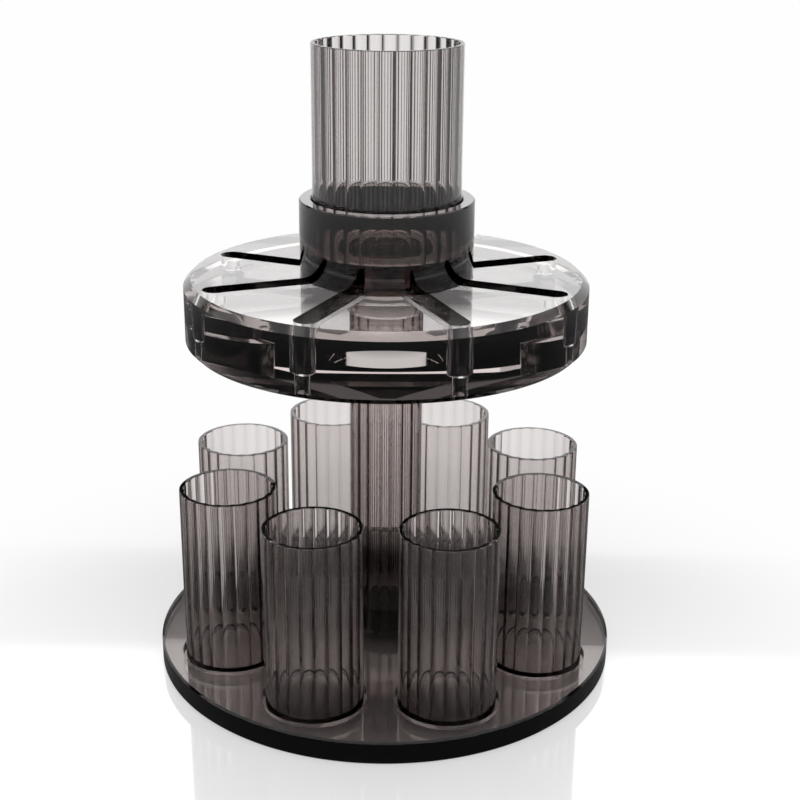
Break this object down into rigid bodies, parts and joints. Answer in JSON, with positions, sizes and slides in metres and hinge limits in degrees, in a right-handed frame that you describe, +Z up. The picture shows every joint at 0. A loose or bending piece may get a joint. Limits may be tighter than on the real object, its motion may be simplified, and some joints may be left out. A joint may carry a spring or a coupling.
{
  "type": "wine fountain",
  "caption": "Smoke acrylic wine fountain: a pouring tube over a channelled disc on a column, which drips into cups standing round a base plate.",
  "frame": {"origin": "centre of the base plate's underside", "axes": "+Z up along the column, -Y towards the front, which lies midway between two cups"},
  "size_m": [0.2, 0.2, 0.266],
  "materials": {
    "smoke_acrylic": "clear smoke-tinted acrylic, extruded and polished",
    "block_acrylic": "thick smoke-tinted acrylic, cast, turned and polished",
    "black_plastic": "black moulded plastic",
    "steel": "stainless steel"
  },
  "bodies": {
    "stand": {"base_plate": "block_acrylic", "column_screw": "steel", "column_washer": "steel", "column_plug": "black_plastic", "column_tube": "smoke_acrylic"},
    "head": {"distributor_disc": "block_acrylic", "head_spigot": "block_acrylic", "collar": "block_acrylic"},
    "pouring_tube": {"pouring_tube": "smoke_acrylic"},
    "cup_1": {"cup_1": "smoke_acrylic", "cup_floor_1": "smoke_acrylic"},
    "cup_2": {"cup_2": "smoke_acrylic", "cup_floor_2": "smoke_acrylic"},
    "cup_3": {"cup_3": "smoke_acrylic", "cup_floor_3": "smoke_acrylic"},
    "cup_4": {"cup_4": "smoke_acrylic", "cup_floor_4": "smoke_acrylic"},
    "cup_5": {"cup_5": "smoke_acrylic", "cup_floor_5": "smoke_acrylic"},
    "cup_6": {"cup_6": "smoke_acrylic", "cup_floor_6": "smoke_acrylic"},
    "cup_7": {"cup_7": "smoke_acrylic", "cup_floor_7": "smoke_acrylic"},
    "cup_8": {"cup_8": "smoke_acrylic", "cup_floor_8": "smoke_acrylic"}
  },
  "joints": [
    {"name": "head_lift", "type": "slide", "parent": "stand", "child": "head", "axis": [0, 0, 1], "range_m": [0, 0.06]},
    {"name": "pouring_tube_lift", "type": "slide", "parent": "head", "child": "pouring_tube", "axis": [0, 0, 1], "range_m": [0, 0.06]},
    {"name": "cup_1_lift", "type": "slide", "parent": "stand", "child": "cup_1", "axis": [0, 0, 1], "range_m": [0, 0.055]},
    {"name": "cup_2_lift", "type": "slide", "parent": "stand", "child": "cup_2", "axis": [0, 0, 1], "range_m": [0, 0.055]},
    {"name": "cup_3_lift", "type": "slide", "parent": "stand", "child": "cup_3", "axis": [0, 0, 1], "range_m": [0, 0.055]},
    {"name": "cup_4_lift", "type": "slide", "parent": "stand", "child": "cup_4", "axis": [0, 0, 1], "range_m": [0, 0.055]},
    {"name": "cup_5_lift", "type": "slide", "parent": "stand", "child": "cup_5", "axis": [0, 0, 1], "range_m": [0, 0.055]},
    {"name": "cup_6_lift", "type": "slide", "parent": "stand", "child": "cup_6", "axis": [0, 0, 1], "range_m": [0, 0.055]},
    {"name": "cup_7_lift", "type": "slide", "parent": "stand", "child": "cup_7", "axis": [0, 0, 1], "range_m": [0, 0.055]},
    {"name": "cup_8_lift", "type": "slide", "parent": "stand", "child": "cup_8", "axis": [0, 0, 1], "range_m": [0, 0.055]}
  ]
}
